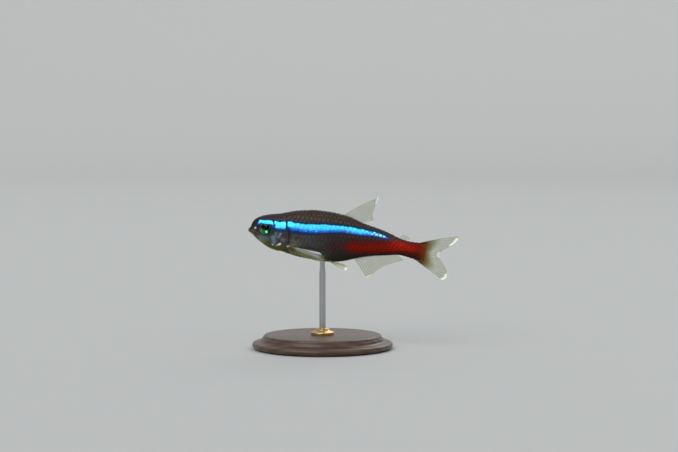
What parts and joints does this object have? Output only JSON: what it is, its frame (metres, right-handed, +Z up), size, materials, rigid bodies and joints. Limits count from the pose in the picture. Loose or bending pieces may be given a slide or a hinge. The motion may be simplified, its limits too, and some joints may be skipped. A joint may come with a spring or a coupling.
{
  "type": "neon tetra",
  "caption": "Life-size neon tetra in a swimming pose with its tail swung aside, held on a display stand with a turned round base and one rod.",
  "frame": {"origin": "middle of the stand base's underside, with the fish's belly above it", "axes": "+Z up; +X from the snout to the tail, level under the head-up fish; +Y to the fish's right side, away from the swing of its tail"},
  "size_m": [0.0325, 0.022, 0.0237],
  "materials": {
    "head_skin": "wet skin, silvery over purplish brown",
    "lower_jaw_skin": "wet skin, silvery over purplish brown",
    "gill_cover_left_skin": "wet skin with silver gleams",
    "gill_cover_right_skin": "wet skin with silver gleams",
    "trunk_skin": "scaled skin with a bright blue stripe",
    "tail_skin": "scaled skin with a red band",
    "eye_left_ball": "clear wet eye, green iris",
    "eye_right_ball": "clear wet eye, green iris",
    "dorsal_fin_membrane": "translucent membrane",
    "adipose_fin_membrane": "translucent membrane",
    "anal_fin_membrane": "translucent membrane",
    "tail_fin_upper_membrane": "translucent membrane",
    "tail_fin_lower_membrane": "translucent membrane",
    "pectoral_fin_left_membrane": "translucent membrane",
    "pectoral_fin_right_membrane": "translucent membrane",
    "pelvic_fin_left_membrane": "translucent membrane",
    "pelvic_fin_right_membrane": "translucent membrane",
    "stand_base_finish": "dark oiled wood",
    "stand_rod_finish": "brushed",
    "stand_collar_finish": "turned"
  },
  "bodies": {
    "root": {"head": "head_skin", "lower_jaw": "lower_jaw_skin", "gill_cover_left": "gill_cover_left_skin", "gill_cover_right": "gill_cover_right_skin", "trunk": "trunk_skin", "tail": "tail_skin", "eye_left": "eye_left_ball", "eye_right": "eye_right_ball", "dorsal_fin": "dorsal_fin_membrane", "adipose_fin": "adipose_fin_membrane", "anal_fin": "anal_fin_membrane", "tail_fin_upper": "tail_fin_upper_membrane", "tail_fin_lower": "tail_fin_lower_membrane", "pectoral_fin_left": "pectoral_fin_left_membrane", "pectoral_fin_right": "pectoral_fin_right_membrane", "pelvic_fin_left": "pelvic_fin_left_membrane", "pelvic_fin_right": "pelvic_fin_right_membrane", "stand_base": "stand_base_finish", "stand_rod": "stand_rod_finish", "stand_collar": "stand_collar_finish"}
  },
  "joints": []
}
